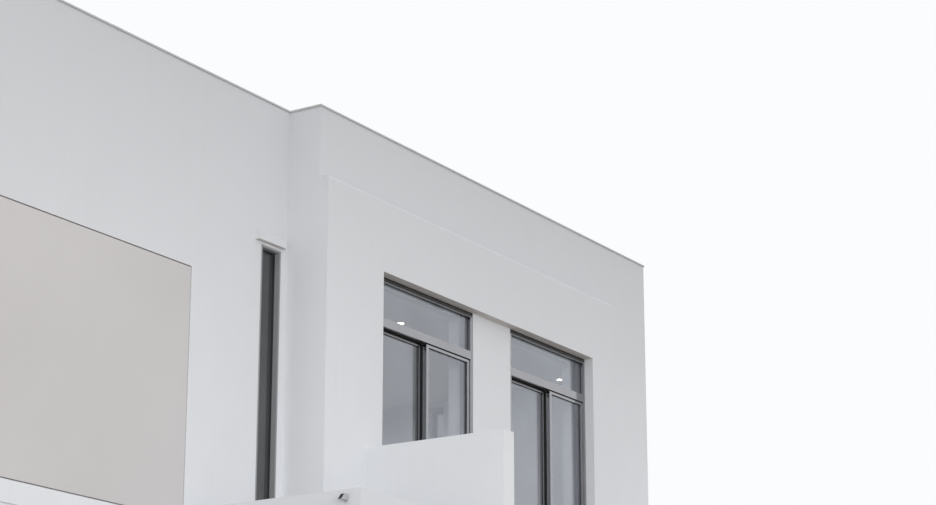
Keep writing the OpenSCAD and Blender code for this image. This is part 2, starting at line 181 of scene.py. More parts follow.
panelPaint = {
    "colour": "#cdcaca",
    "shade": "#c7c4c4",
    "cloudMm": 1500,
    "fibreMm": 14,            # fibres are 2 mm; drawn coarser so that they show
    "fibreDepthMm": 0.1,
    "roughness": (0.5, 0.62),
}


def makeFibreCement(name, values):
    # Pressed fibre-cement sheet with factory paint: smoother than the render, a thin
    # satin sheen and a very fine fibre pattern.
    material, tree, place = newMaterial(name)
    cloud = addNode(tree, "TexNoise", spots(place, values["cloudMm"], Detail=4.0))
    fibre = addNode(tree, "TexNoise", spots(place, values["fibreMm"], Detail=4.0, Roughness=0.7))
    blend = addNode(tree, "Math", {0: fibre, 1: 0.25, 2: cloud}, operation="MULTIPLY_ADD")
    colour = overlay(tree, linear(values["colour"]), blend, (0.45, 0.8), values["shade"])
    return closeSurface(
        material, colour, values["roughness"], (fibre, 0.3, 0.7),
        [(fibre, 0.5, values["fibreDepthMm"])], {"IOR": 1.5})


fibreCement = makeFibreCement("fibre-cement sheet, factory painted", panelPaint)

anodised = {
    "colour": "#a9a9ab",
    "shade": "#9c9c9f",
    "lineMm": (3, 3, 900),    # die lines are 0.1 mm; drawn at 3 mm so that they show
    "cloudMm": 220,
    "roughness": (0.13, 0.2),
    "lineDepthMm": 0.02,
}
foldedSill = {**anodised, "lineMm": (60, 60, 60), "roughness": (0.24, 0.34)}
brushedSteel = {
    "colour": "#b9b9b6",
    "shade": "#a7a7a4",
    "lineMm": (1.5, 1.5, 60),
    "cloudMm": 90,
    "roughness": (0.24, 0.4),
    "lineDepthMm": 0.02,
}


def makeBareMetal(name, values):
    # Anodised or brushed bare metal: it mirrors its surroundings softly, with fine
    # lines along its length and a slight change in gloss from place to place.
    material, tree, place = newMaterial(name)
    lines = stretchedNoise(tree, place, values["lineMm"], {"Detail": 3.0, "Roughness": 0.6})
    cloud = addNode(tree, "TexNoise", spots(place, values["cloudMm"], Detail=4.0))
    colour = addNode(tree, "Mix", {
        0: cloud, 6: linear(values["colour"]), 7: linear(values["shade"])}, data_type="RGBA")
    gloss = addNode(tree, "Math", {0: lines, 1: 0.5, 2: cloud}, operation="MULTIPLY_ADD")
    return closeSurface(
        material, colour.outputs[2], values["roughness"], (gloss, 0.5, 1.0),
        [(lines, 0.4, values["lineDepthMm"])], {"Metallic": 1.0})


frameMetal = makeBareMetal("aluminium profile, satin anodised", anodised)
sillMetal = makeBareMetal("aluminium sill, folded and anodised", foldedSill)
handleMetal = makeBareMetal("stainless steel tube, brushed", brushedSteel)

cappingCoat = {"colour": "#b4b7b6", "shade": "#a6a9a8", "speckMm": 9, "cloudMm": 700,
               "roughness": (0.36, 0.5), "dust": "#b2b2ac", "dustShare": 0.35}
roofCoat = {"colour": "#a3a6a8", "shade": "#95989a", "speckMm": 14, "cloudMm": 1600,
            "roughness": (0.4, 0.55), "dust": "#918f89", "dustShare": 0.3}
slotFrameCoat = {"colour": "#949597", "shade": "#8a8b8d", "speckMm": 3, "cloudMm": 300,
                 "roughness": (0.36, 0.48), "dust": "#a09f9a", "dustShare": 0.15}
rainwaterCoat = {"colour": "#d4d6da", "shade": "#cbcdd2", "speckMm": 7, "cloudMm": 500,
                 "roughness": (0.32, 0.45), "dust": "#b5b4ae", "dustShare": 0.2}
lightCoat = {"colour": "#b9babb", "shade": "#adaeaf", "speckMm": 2, "cloudMm": 40,
             "roughness": (0.42, 0.55), "dust": "#8c8b86", "dustShare": 0.15}


def makeCoatedSteel(name, values):
    # Sheet metal, folded and coated: an even coat with a low orange-peel, a satin gloss
    # and settled dust that dulls it in soft patches.
    material, tree, place = newMaterial(name)
    speck = addNode(tree, "TexNoise", spots(place, values["speckMm"], Detail=3.0))
    cloud = addNode(tree, "TexNoise", spots(place, values["cloudMm"], Detail=5.0, Roughness=0.6))
    coat = addNode(tree, "Mix", {
        0: cloud, 6: linear(values["colour"]), 7: linear(values["shade"])}, data_type="RGBA")
    colour = overlay(tree, coat.outputs[2], cloud, (0.5, 0.75), values["dust"],
                     values["dustShare"])
    peelMm = 0.1
    return closeSurface(
        material, colour, values["roughness"], (cloud, 0.35, 0.65),
        [(speck, 0.35, peelMm)], {"IOR": 1.5})


cappingSteel = makeCoatedSteel("steel capping, folded and coated", cappingCoat)
roofSteel = makeCoatedSteel("steel roofing, coil coated", roofCoat)
slotFrameMetal = makeCoatedSteel("aluminium profile, powder coated", slotFrameCoat)
rainwaterSteel = makeCoatedSteel("steel rainwater goods, coated", rainwaterCoat)
lightBody = makeCoatedSteel("aluminium casting, powder coated", lightCoat)

slabConcrete = {"colour": "#a6a5a2", "shade": "#94938f", "cloudMm": 900, "stoneMm": 22,
                "poreMm": 9, "roughness": (0.68, 0.86), "poreDepthMm": 0.6}
terraceStone = {"colour": "#cfcdc8", "shade": "#c2c0bb", "cloudMm": 520, "stoneMm": 11,
                "poreMm": 6, "roughness": (0.45, 0.62), "poreDepthMm": 0.25}
ceilingPlaster = {"colour": "#e4e4e2", "shade": "#dededc", "cloudMm": 1400, "stoneMm": 60,
                  "poreMm": 30, "roughness": (0.8, 0.9), "poreDepthMm": 0.1}


def makeMineral(name, values):
    # Trowelled concrete, honed stone or plaster: a matt mineral face with stone specks,
    # small pores and a slow change of tone.
    material, tree, place = newMaterial(name)
    cloud = addNode(tree, "TexNoise", spots(place, values["cloudMm"], Detail=6.0, Roughness=0.6))
    stones = addNode(tree, "TexVoronoi", spots(place, values["stoneMm"]))
    pores = addNode(tree, "TexNoise", spots(place, values["poreMm"]))
    poreDepth = addNode(tree, "MapRange", {"Value": pores, "From Min": 0.3, "From Max": 0.45})
    speck = addNode(tree, "Math", {0: stones, 1: 0.3, 2: cloud}, operation="MULTIPLY_ADD")
    colour = overlay(tree, linear(values["colour"]), speck, (0.4, 0.85), values["shade"])
    return closeSurface(
        material, colour, values["roughness"], (cloud, 0.35, 0.65),
        [(poreDepth, 0.5, values["poreDepthMm"])], {"IOR": 1.5, "Specular IOR Level": 0.4})


concrete = makeMineral("concrete slab, trowelled", slabConcrete)
paving = makeMineral("stone paver, honed", terraceStone)
plaster = makeMineral("plasterboard ceiling, rolled paint", ceilingPlaster)

doorStain = {"colour": "#4a4540", "shade": "#2f2b28", "grainMm": (16, 16, 700),
             "ringMm": (60, 60, 2600), "roughness": (0.34, 0.5), "grainDepthMm": 0.2}


def makeStainedWood(name, values):
    # Oak boards, dark stained and oiled: straight upright grain, pores that take more
    # stain, and a low sheen that the grain breaks up.
    material, tree, place = newMaterial(name)
    grain = stretchedNoise(tree, place, values["grainMm"], {
        "Detail": 7.0, "Roughness": 0.7, "Distortion": 0.4})
    rings = stretchedNoise(tree, place, values["ringMm"], {"Distortion": 1.2})
    blend = addNode(tree, "Math", {0: rings, 1: 0.5, 2: grain}, operation="MULTIPLY_ADD")
    colour = overlay(tree, linear(values["colour"]), blend, (0.5, 1.0), values["shade"])
    return closeSurface(
        material, colour, values["roughness"], (grain, 0.35, 0.7),
        [(grain, 0.4, values["grainDepthMm"])], {"IOR": 1.5})


stainedDoor = makeStainedWood("oak boards, stained and oiled", doorStain)

# straight is the mirrored share seen square on, and rise how late it grows at a flat
# angle; both follow the four surfaces of a double pane
paneGlass = {"tint": "#f1f2f2", "mirror": "#edf1fb", "straight": 0.088, "rise": 3.1,
             "cloudPatchMm": 620, "cloudReflectionShare": 0.10, "rollerMm": 340, "rollerDepthMm": 0.06}
slotPane = {**paneGlass, "tint": "#b6b8b8", "mirror": "#e6e7e6", "straight": 0.08, "rise": 3.0}


def makeGlass(name, values):
    # Toughened float glass in a sealed unit: clear from the front, a stronger mirror at a
    # flat angle, and the faint waves of the toughening rollers in what it mirrors. Painted
    # reflection: the mirrored share rises and falls in soft patches, for clouds in the sky.
    material, tree, place = newMaterial(name)
    facing = addNode(tree, "LayerWeight", {"Blend": 0.5})
    steep = addNode(tree, "Math", {0: facing.outputs["Facing"], 1: values["rise"]},
                    operation="POWER")
    share = addNode(tree, "MapRange", {"Value": steep, "To Min": values["straight"]})
    # painted reflection: soft patches that raise and lower the mirrored share, for clouds
    cloudPatch = addNode(tree, "TexNoise", spots(place, values["cloudPatchMm"], Detail=1.0))
    cloudReflectionShare = addNode(tree, "MapRange", {
        "Value": cloudPatch, "From Min": 0.3, "From Max": 0.7,
        "To Min": 1 - values["cloudReflectionShare"], "To Max": 1 + values["cloudReflectionShare"]})
    mirrorShare = addNode(tree, "Math", {0: share, 1: cloudReflectionShare},
                          operation="MULTIPLY", use_clamp=True)
    roller = addNode(tree, "TexNoise", spots(place, values["rollerMm"], Detail=0.0))
    bump = addNode(tree, "Bump", {
        "Height": roller, "Strength": 0.5, "Distance": values["rollerDepthMm"] / 1000})
    clear = addNode(tree, "BsdfTransparent", {"Color": linear(values["tint"])})
    mirror = addNode(tree, "BsdfGlossy", {
        "Color": linear(values["mirror"]), "Roughness": 0.02, "Normal": bump})
    return closeMaterial(material, addNode(tree, "MixShader", {
        0: mirrorShare, 1: clear, 2: mirror}))


windowGlass = makeGlass("float glass, toughened, sealed unit", paneGlass)
slotGlass = makeGlass("float glass, grey body tint", slotPane)

rubberSeal = {"colour": "#141415", "bloom": "#232324", "bloomMm": 45, "roughness": 0.6,
              "ior": 1.52}
coverGlass = {"colour": "#08080a", "bloom": "#101013", "bloomMm": 30, "roughness": 0.06,
              "ior": 1.3}
roofMembrane = {"colour": "#dcddde", "bloom": "#d0d1d1", "bloomMm": 380, "roughness": 0.72,
                "ior": 1.5}


def makeRubber(name, values):
    # Extruded rubber, dark and dull with a grey bloom in patches; the same slow bloom
    # gives a welded membrane and a black-backed glass cover their uneven tone.
    material, tree, place = newMaterial(name)
    bloom = addNode(tree, "TexNoise", spots(place, values["bloomMm"], Detail=3.0))
    colour = addNode(tree, "Mix", {
        0: bloom, 6: linear(values["colour"]), 7: linear(values["bloom"])}, data_type="RGBA")
    return closeMaterial(material, addNode(tree, "BsdfPrincipled", {
        "Base Color": colour.outputs[2], "Roughness": values["roughness"], "IOR": values["ior"]}))


rubber = makeRubber("rubber seal, extruded", rubberSeal)
membrane = makeRubber("roofing membrane, welded", roofMembrane)
darkGlass = makeRubber("glass cover, black backed", coverGlass)

lampOpal = {"colour": "#fff6e8", "strength": 14.0, "rimShare": 0.55}


def makeLamp(name, values):
    # Opal acrylic diffuser, lit: bright in the middle and a little weaker at a flat angle.
    material, tree, _ = newMaterial(name)
    facing = addNode(tree, "LayerWeight", {"Blend": 0.3})
    level = addNode(tree, "MapRange", {
        "Value": facing.outputs["Facing"], "To Min": values["strength"],
        "To Max": values["strength"] * values["rimShare"]})
    return closeMaterial(material, addNode(tree, "Emission", {
        "Color": linear(values["colour"]), "Strength": level}))


litOpal = makeLamp("opal acrylic, lit", lampOpal)

slotMaterials = {
    "render": wallRender, "concrete": concrete, "paving": paving, "plaster": plaster,
    "cladding": fibreCement, "roof_sheet": roofSteel, "capping": cappingSteel,
    "frame": frameMetal, "sill": sillMetal, "glass": windowGlass, "door": stainedDoor,
    "handle": handleMetal, "light_body": lightBody, "lamp": litOpal, "rainwater": rainwaterSteel,
}
nodeMaterials = {
    "slot_window_glass": slotGlass, "slot_window_frames": slotFrameMetal,
    # the porch walls take the darker copy of the wall paint: painted shade
    "porch_left_wall": porchShadedRender, "porch_front_wall": porchShadedRender,
    "porch_right_wall": porchShadedRender,
}
for part in frame["record"]["subparts"]:
    node = nodes[part["node"]]
    material = nodeMaterials.get(part["node"], slotMaterials[part["material_slot"]])
    for slot in node.material_slots:
        slot.material = material
    if not node.material_slots:
        node.data.materials.append(material)
print("materials on", len(nodes), "nodes")


# modelling helpers; lengths are in millimetres, points in metres as Blender has them

up, down, front = Vector((0, 0, 1)), Vector((0, 0, -1)), Vector((0, -1, 0))


def clearPick():
    if bpy.context.object and bpy.context.object.mode != "OBJECT":
        bpy.ops.object.mode_set(mode="OBJECT")
    bpy.ops.object.select_all(action="DESELECT")


def pickPiece(piece):
    clearPick()
    piece.select_set(True)
    bpy.context.view_layer.objects.active = piece


def editPiece(piece):
    pickPiece(piece)
    bpy.ops.object.mode_set(mode="EDIT")


def leaveEdit():
    bpy.ops.object.mode_set(mode="OBJECT")


def pickAll():
    bpy.ops.mesh.select_all(action="SELECT")


def pick(piece, kind, test):
    bpy.ops.mesh.select_mode(type=kind)
    bpy.ops.mesh.select_all(action="DESELECT")
    mesh = bmesh.from_edit_mesh(piece.data)
    mesh.normal_update()
    for part in mesh.faces if kind == "FACE" else mesh.edges:
        if test(part):
            part.select_set(True)
    bmesh.update_edit_mesh(piece.data)


def pickFaces(piece, test):
    # the test gets a face's centre and normal
    pick(piece, "FACE", lambda face: test(face.calc_center_median(), face.normal))


def pickEdges(piece, test):
    # the test gets the two ends of an edge
    pick(piece, "EDGE", lambda edge: test(edge.verts[0].co, edge.verts[1].co))


def near(a, b):
    return abs(a - b) < 1e-5


def looking(*ways):
    # test for faces that look one of these ways
    return lambda centre, normal: any(normal.dot(way) > 0.9 for way in ways)


def inset(border):
    bpy.ops.mesh.inset(thickness=border / 1000)


def extrude(x, y, z):
    bpy.ops.mesh.extrude_region_move(
        TRANSFORM_OT_translate={"value": (x / 1000, y / 1000, z / 1000)})


def stepFaces(piece, way, *steps):
    # each step leaves a border inside the faces that look this way and pushes the rest out
    editPiece(piece)
    pickFaces(piece, looking(way))
    for border, push in steps:
        inset(border)
        extrude(*(way * push))
    leaveEdit()


def openFaces(piece, test):
    editPiece(piece)
    pickFaces(piece, test)
    bpy.ops.mesh.delete(type="FACE")
    leaveEdit()


def faceOutward():
    pickAll()
    bpy.ops.mesh.remove_doubles(threshold=1e-6)
    bpy.ops.mesh.normals_make_consistent(inside=False)
    leaveEdit()


def thicken(piece, thickness, offset=-1):
    pickPiece(piece)
    sheet = piece.modifiers.new("sheet", "SOLIDIFY")
    sheet.thickness, sheet.offset, sheet.use_even_offset = thickness / 1000, offset, True
    bpy.ops.object.modifier_apply(modifier=sheet.name)


def roundEdges(piece, width, segments=2, angle=30):
    pickPiece(piece)
    edges = piece.modifiers.new("edges", "BEVEL")
    edges.width, edges.segments, edges.angle_limit = width / 1000, segments, math.radians(angle)
    bpy.ops.object.modifier_apply(modifier=edges.name)


def nameNew(name):
    piece = bpy.context.object
    piece.name = piece.data.name = name
    bpy.ops.object.transform_apply(location=True, rotation=True, scale=True)
    return piece


def startBlock(name, low, high):
    clearPick()
    low, high = Vector(low), Vector(high)
    bpy.ops.mesh.primitive_cube_add(size=1, location=(low + high) / 2, scale=high - low)
    return nameNew(name)


def startDisc(name, centre, radius, depth, sides=40, turn=(0, 0, 0)):
    clearPick()
    bpy.ops.mesh.primitive_cylinder_add(vertices=sides, radius=radius / 1000, depth=depth / 1000,
                                        location=centre, rotation=turn)
    return nameNew(name)


def startRing(name, width, height, face, centre=(0, 0, 0)):
    # a flat upright ring in X and Z that faces -Y, all picked in edit mode
    clearPick()
    bpy.ops.mesh.primitive_plane_add(size=1, rotation=(math.pi / 2, 0, 0))
    bpy.context.object.scale = (width / 1000, height / 1000, 1)
    ring = nameNew(name)
    ring.data.transform(Matrix.Translation(centre))
    editPiece(ring)
    pickAll()
    inset(face)
    bpy.ops.mesh.delete(type="FACE")
    pickAll()
    return ring


def copyNode(name, node):
    # a CAD node's shape as a new piece, merged from its loose triangles, in edit mode
    piece = bpy.data.objects.new(name, nodes[node].data.copy())
    piece.data.name = name
    scene.collection.objects.link(piece)
    editPiece(piece)
    pickAll()
    bpy.ops.mesh.remove_doubles(threshold=1e-5)
    bpy.ops.mesh.dissolve_limited(angle_limit=math.radians(1))
    return piece


def placedCopy(piece, matrix):
    twin = piece.copy()
    twin.data = piece.data.copy()
    twin.data.transform(matrix)
    scene.collection.objects.link(twin)
    return twin


def joined(name, parts):
    pickPiece(parts[0])
    for part in parts:
        part.select_set(True)
    bpy.ops.object.join()
    whole = bpy.context.object
    whole.name = whole.data.name = name
    return whole


def finishPiece(piece, material):
    pickPiece(piece)
    bpy.ops.object.shade_smooth_by_angle(angle=math.radians(35))
    piece.data.materials.clear()
    piece.data.materials.append(material)
    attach(piece, "root")
    print("piece:", piece.name, len(piece.data.polygons), "faces")
    return piece


def softenNode(name, node, width, angle, material):
    # a CAD node's shape again, with its edges rounded, in the place of the node
    piece = copyNode(name, node)
    faceOutward()
    roundEdges(piece, width, 2, angle)
    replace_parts(finishPiece(piece, material), node)


def solidBoxes(node):
    # lowest and highest corner of each separate solid in a CAD node
    mesh = bmesh.new()
    mesh.from_mesh(nodes[node].data)
    bmesh.ops.remove_doubles(mesh, verts=mesh.verts, dist=1e-5)
    seen, boxes = set(), []
    for start in mesh.verts:
        if start in seen:
            continue
        seen.add(start)
        queue, found = [start], []
        while queue:
            vertex = queue.pop()
            found.append(vertex.co.copy())
            for other in [edge.other_vert(vertex) for edge in vertex.link_edges]:
                if other not in seen:
                    seen.add(other)
                    queue.append(other)
        boxes.append([Vector([limit(c[i] for c in found) for i in range(3)])
                      for limit in (min, max)])
    mesh.free()
    return boxes


# the part's own millimetres are counted from the front corner of the right part
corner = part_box("front_panel")[0] * Vector((1, 1, 0))


def site(x, y, z):
    return Vector((x, y, z)) / 1000 + corner


def siteBlock(name, x, y, z):
    return startBlock(name, *(site(*end) for end in zip(x, y, z)))


def siteBox(node):
    return [(end - corner) * 1000 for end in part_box(node)]


def wallMatrix(low, high, atSill):
    # moves a part drawn around the origin, facing -Y, to the outer face of a window's box
    size, spot = high - low, (low + high) / 2
    if size.x > size.y:
        turn = 180 if spot.y > 0 else 0
    else:
        turn = 90 if spot.x > 0 else -90
    spin = Matrix.Rotation(math.radians(turn), 4, "Z")
    outward = spin @ front
    spot += outward * (abs(outward.x) * size.x + abs(outward.y) * size.y) / 2
    if atSill:
        spot.z = low.z
    return Matrix.Translation(spot) @ spin


def fitted(node, model, atSill=False):
    # copies of what model makes for each width and height, one at each solid of the node
    patterns, copies = {}, []
    for low, high in solidBoxes(node):
        width, height = max(high.x - low.x, high.y - low.y) * 1000, (high.z - low.z) * 1000
        size = (round(width, 1), round(height, 1))
        if size not in patterns:
            patterns[size] = model(width, height)
        copies.append(placedCopy(patterns[size], wallMatrix(low, high, atSill)))
    for pattern in patterns.values():
        bpy.data.objects.remove(pattern)
    return copies


seals = {"face": 3, "depth": 4, "round": 1, "overlap": 1}


def makeSeal(width, height):
    ring = startRing("seal", width - seals["overlap"], height - seals["overlap"], seals["face"])
    extrude(0, -seals["depth"], 0)
    pickAll()
    bpy.ops.mesh.normals_make_consistent(inside=False)
    frontY = -seals["depth"] / 1000
    pickEdges(ring, lambda a, b: near(a.y, frontY) and near(b.y, frontY)
              and (near(a.x, b.x) or near(a.z, b.z)))
    bpy.ops.mesh.bevel(offset=seals["round"] / 1000, segments=2, affect="EDGES")
    faceOutward()
    return ring


for place in ("upper", "ground", "rear", "slot"):
    finishPiece(joined(place + "Seals", fitted(place + "_window_glass", makeSeal)), rubber)

# counted from the middle of a window's outer face at its sill, as the part's source draws
# its frames
track = {"frameFace": 32, "highlight": 355, "transom": 74, "sill": 44, "gap": 10,
         "outer": (10, 48), "inner": (62, 100), "meet": (40, 44), "stile": 36}
# sizes of the seals and of the dark strips that paint the shade in the head channel and along the
# head
sealAndShade = {"pile": 8, "pileRound": 2.5, "shadeLiner": 3, "linerY": (26, 106), "channel": (4, -1.5),
         "interlock": 2, "interlockRound": 1.2, "lap": 1,
         "headShadeLines": ((20, 2), (33, 24)), "headY": (-1.2, 2), "headRound": 0.9}
pull = {"height": 1000, "tallFrom": 2200, "lowShare": 0.4, "length": 190, "width": 20,
        "proud": 7, "grip": 4, "floor": 2, "round": 1}
weep = {"step": 420, "inset": 60, "width": 34, "height": 9, "proud": 4, "above": 9,
        "taper": (0.86, 1, 0.6), "round": 0.8}


def windowBlock(name, x, y, z, width=0):
    block = startBlock(name, *(Vector(end) / 1000 for end in zip(x, y, z)))
    if width:
        roundEdges(block, width)
    return block


def makeSealsAndShadeStrips(width, height):
    # pile seals over both sashes, a strip between them, a liner under the transom and lines
    # along the head, all of dark rubber; painted shade: the liner and the head lines are dark
    # strips put where the head channel and the head's grooves are in shade, and the pile and
    # the strip between the sashes, real seals, also darken the gaps they fill
    half, lap = width / 2 - track["frameFace"], sealAndShade["lap"]
    barLow = height - track["highlight"] - track["transom"]
    sashTop, linerLow = barLow - track["gap"], barLow - sealAndShade["shadeLiner"]
    (meetLeft, meetRight), over = track["meet"], sealAndShade["interlock"]
    shadeLiner = windowBlock("shadeLiner", (-half, half), sealAndShade["linerY"], (linerLow, barLow))
    stepFaces(shadeLiner, down, sealAndShade["channel"])
    parts = [shadeLiner]
    for sash, span in (("outer", (meetLeft, half)), ("inner", (-half, meetRight))):
        middle, pile = sum(track[sash]) / 2, sealAndShade["pile"] / 2
        parts.append(windowBlock("pile", span, (middle - pile, middle + pile),
                                 (sashTop - lap, linerLow + lap), sealAndShade["pileRound"]))
    parts.append(windowBlock(
        "interlock", (meetLeft - over, meetRight + over),
        (track["outer"][1] - lap, track["inner"][0] + lap), (track["sill"], sashTop),
        sealAndShade["interlockRound"]))
    for low, high in sealAndShade["headShadeLines"]:
        parts.append(windowBlock("headShadeLine", (lap - width / 2, width / 2 - lap), sealAndShade["headY"],
                                 (height - low, height - high), sealAndShade["headRound"]))
    return joined("sealsAndShadeStrips", parts)


def makeHardware(width, height):
    # a flush pull on each closing stile and covers over the drain slots in the sill
    half = width / 2 - track["frameFace"]
    stileX = half - track["stile"] / 2
    z = pull["height"] if height > pull["tallFrom"] else height * pull["lowShare"]
    parts = []
    for x, y in ((stileX, track["outer"][0]), (-stileX, track["inner"][0])):
        grip = windowBlock("pull", (x - pull["width"] / 2, x + pull["width"] / 2),
                           (y - pull["proud"], y), (z, z + pull["length"]))
        stepFaces(grip, front, (pull["grip"], pull["floor"] - pull["proud"]))
        roundEdges(grip, pull["round"])
        parts.append(grip)
    count = int(2 * (half - weep["inset"]) / weep["step"]) + 1
    for i in range(count):
        x = (i - (count - 1) / 2) * weep["step"]
        cover = windowBlock("weepCover", (x - weep["width"] / 2, x + weep["width"] / 2),
                            (-weep["proud"], 0), (weep["above"], weep["above"] + weep["height"]))
        editPiece(cover)
        pickFaces(cover, looking(front))
        bpy.ops.transform.resize(value=weep["taper"])
        leaveEdit()
        roundEdges(cover, weep["round"])
        parts.append(cover)
    return joined("hardware", parts)


for place in ("upper", "ground", "rear"):
    windows = place + "_window_frames"
    # seals and dark strips of painted shade at the heads of the sliding windows, then their pulls
    # and weep covers
    finishPiece(joined(place + "Brushes", fitted(windows, makeSealsAndShadeStrips, True)), rubber)
    finishPiece(joined(place + "Hardware", fitted(windows, makeHardware, True)),
                frameMetal)

fold = {"lip": 3, "sheet": 1.6, "clearance": 0.5, "round": 1.5,
        "strapWidth": 110, "strapSheet": 0.7,
        "frontStops": (-4450, -2150), "rightStops": (1350, 3650),
        "leftSideStops": (2900, 5300, 7700), "rightSideStops": (2600, 5100, 7600),
        "backStops": (-4200, -1900, 400, 2700)}
leftLow, leftHigh = siteBox("left_facade")
rightLow, rightHigh = siteBox("right_facade")
cappingLow, cappingHigh = siteBox("front_capping")
rearLow, rearHigh = siteBox("rear_capping")
overhang = leftLow.x - cappingLow.x
leftWallX = siteBox("upper_left_wall")[1].x       # inner faces of the walls
rightWallX = siteBox("upper_right_wall")[0].x
backWallY = siteBox("upper_back_wall")[0].y
strapRuns = {
    "frontCappingShell": [
        ("x", fold["frontStops"], (leftLow.y - overhang, leftHigh.y + overhang)),
        ("x", fold["rightStops"], (rightLow.y - overhang, rightHigh.y + overhang))],
    "rearCappingShell": [
        ("y", fold["leftSideStops"], (rearLow.x, leftWallX + overhang)),
        ("y", fold["rightSideStops"], (rightWallX - overhang, rearHigh.x)),
        ("x", fold["backStops"], (backWallY - overhang, rearHigh.y))],
}


def makeStrap(along, stop, across):
    spans = [(stop - fold["strapWidth"] / 2, stop + fold["strapWidth"] / 2), across]
    x, y = spans if along == "x" else reversed(spans)
    bottom, top = leftHigh.z - fold["lip"], leftHigh.z + cappingHigh.z - cappingLow.z
    strap = siteBlock("strap", x, y, (bottom, top))
    openFaces(strap, lambda c, n: n.z < -0.9 or abs(getattr(n, along)) > 0.9)
    thicken(strap, fold["strapSheet"])
    return strap


def makeCapping(name, node):
    shell = copyNode(name, node)
    pickAll()
    bpy.ops.transform.shrink_fatten(value=-fold["clearance"] / 1000, use_even_offset=True)
    pickFaces(shell, looking(down))
    inset(fold["sheet"])
    mesh = bmesh.from_edit_mesh(shell.data)
    inner = {face for face in mesh.faces if face.select}
    for face in mesh.faces:  # the rim round the inset becomes the lip
        face.select_set(face.normal.z < -0.9 and face not in inner)
    bmesh.update_edit_mesh(shell.data)
    extrude(0, 0, -fold["lip"])
    faceOutward()
    roundEdges(shell, fold["round"])
    straps = [makeStrap(along, stop, across)
              for along, stops, across in strapRuns[name] for stop in stops]
    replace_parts(finishPiece(joined(name, [shell, *straps]), cappingSteel), node)


makeCapping("frontCappingShell", "front_capping")
makeCapping("rearCappingShell", "rear_capping")

roof = {"seamRound": 6, "flashingHeight": 150, "flashingSheet": 4, "flashingBed": 2,
        "hem": (0.8, 6), "foot": 60, "footSheet": 3, "footBed": 1}
deckLow, deckHigh = siteBox("roof_deck")
seamLow, seamHigh = siteBox("roof_seams")
returnX = siteBox("return_wall")[1].x
gutterY = seamHigh.y
fallPerMm = (deckHigh.z - seamLow.z) / (gutterY - deckLow.y)


def deckZ(y):
    return deckHigh.z - fallPerMm * (y - deckLow.y)


def slopedBlock(name, x0, x1, y0, y1, below, above):
    # a block that follows the fall of the deck from y0 to y1
    piece = siteBlock(name, (x0, x1), (y0, y1), (deckZ(y0) - below, deckZ(y0) + above))
    editPiece(piece)
    pickFaces(piece, looking(-front))
    bpy.ops.transform.translate(value=(0, 0, (deckZ(y1) - deckZ(y0)) / 1000))
    leaveEdit()
    return piece


def makeFlashings():
    leftY, rightY, sheet = leftHigh.y, rightHigh.y, roof["flashingSheet"]

    def runs(depth):
        return [(leftWallX, returnX, leftY, leftY + depth),
                (returnX, rightWallX, rightY, rightY + depth),
                (leftWallX, leftWallX + depth, leftY, gutterY),
                (rightWallX - depth, rightWallX, rightY, gutterY)]

    parts = [slopedBlock("flashing", *run, roof["flashingBed"], roof["flashingHeight"])
             for run in runs(sheet) + [(returnX, returnX + sheet, rightY, leftY + sheet)]]
    for part in parts:
        stepFaces(part, up, roof["hem"])
    parts += [slopedBlock("flashingFoot", *run, roof["footBed"], roof["footSheet"])
              for run in runs(roof["foot"])]
    finishPiece(joined("parapetFlashings", parts), cappingSteel)


softenNode("roofSeams", "roof_seams", roof["seamRound"], 30, roofSteel)
makeFlashings()

pavers = {"columns": 7, "rows": 2, "gap": 5, "thick": 32, "round": 2, "clear": 3}
terraceLow, terraceHigh = siteBox("terrace_slab")
wings = sorted(solidBoxes("wing_walls"), key=lambda ends: ends[0].x)
leftWing, rightWing = [[(end.x - corner.x) * 1000 for end in wing]
                       for wing in (wings[0], wings[-1])]


def makePavers():
    gap, clear, floorZ = pavers["gap"], pavers["clear"], terraceHigh.z
    x0, x1 = leftWing[1] + clear, rightWing[0] - clear
    y0, y1 = terraceLow.y + clear, -clear
    width, depth = (x1 - x0 + gap) / pavers["columns"], (y1 - y0 + gap) / pavers["rows"]
    tile = siteBlock("paver", (x0, x0 + width - gap), (y0, y0 + depth - gap),
                     (floorZ, floorZ + pavers["thick"]))
    roundEdges(tile, pavers["round"])
    tiles = [placedCopy(tile, Matrix.Translation((column * width / 1000, row * depth / 1000, 0)))
             for column in range(pavers["columns"]) for row in range(pavers["rows"])]
    bpy.data.objects.remove(tile)
    finishPiece(joined("terracePavers", tiles), paving)


makePavers()

tray = {"upstand": 150, "sheet": 2, "round": 0.8}
drain = {"at": (-700, -820), "radius": 85, "foot": 8, "rim": 22, "rise": 30, "taper": 0.8,
         "lip": 12, "well": 12, "round": 3}


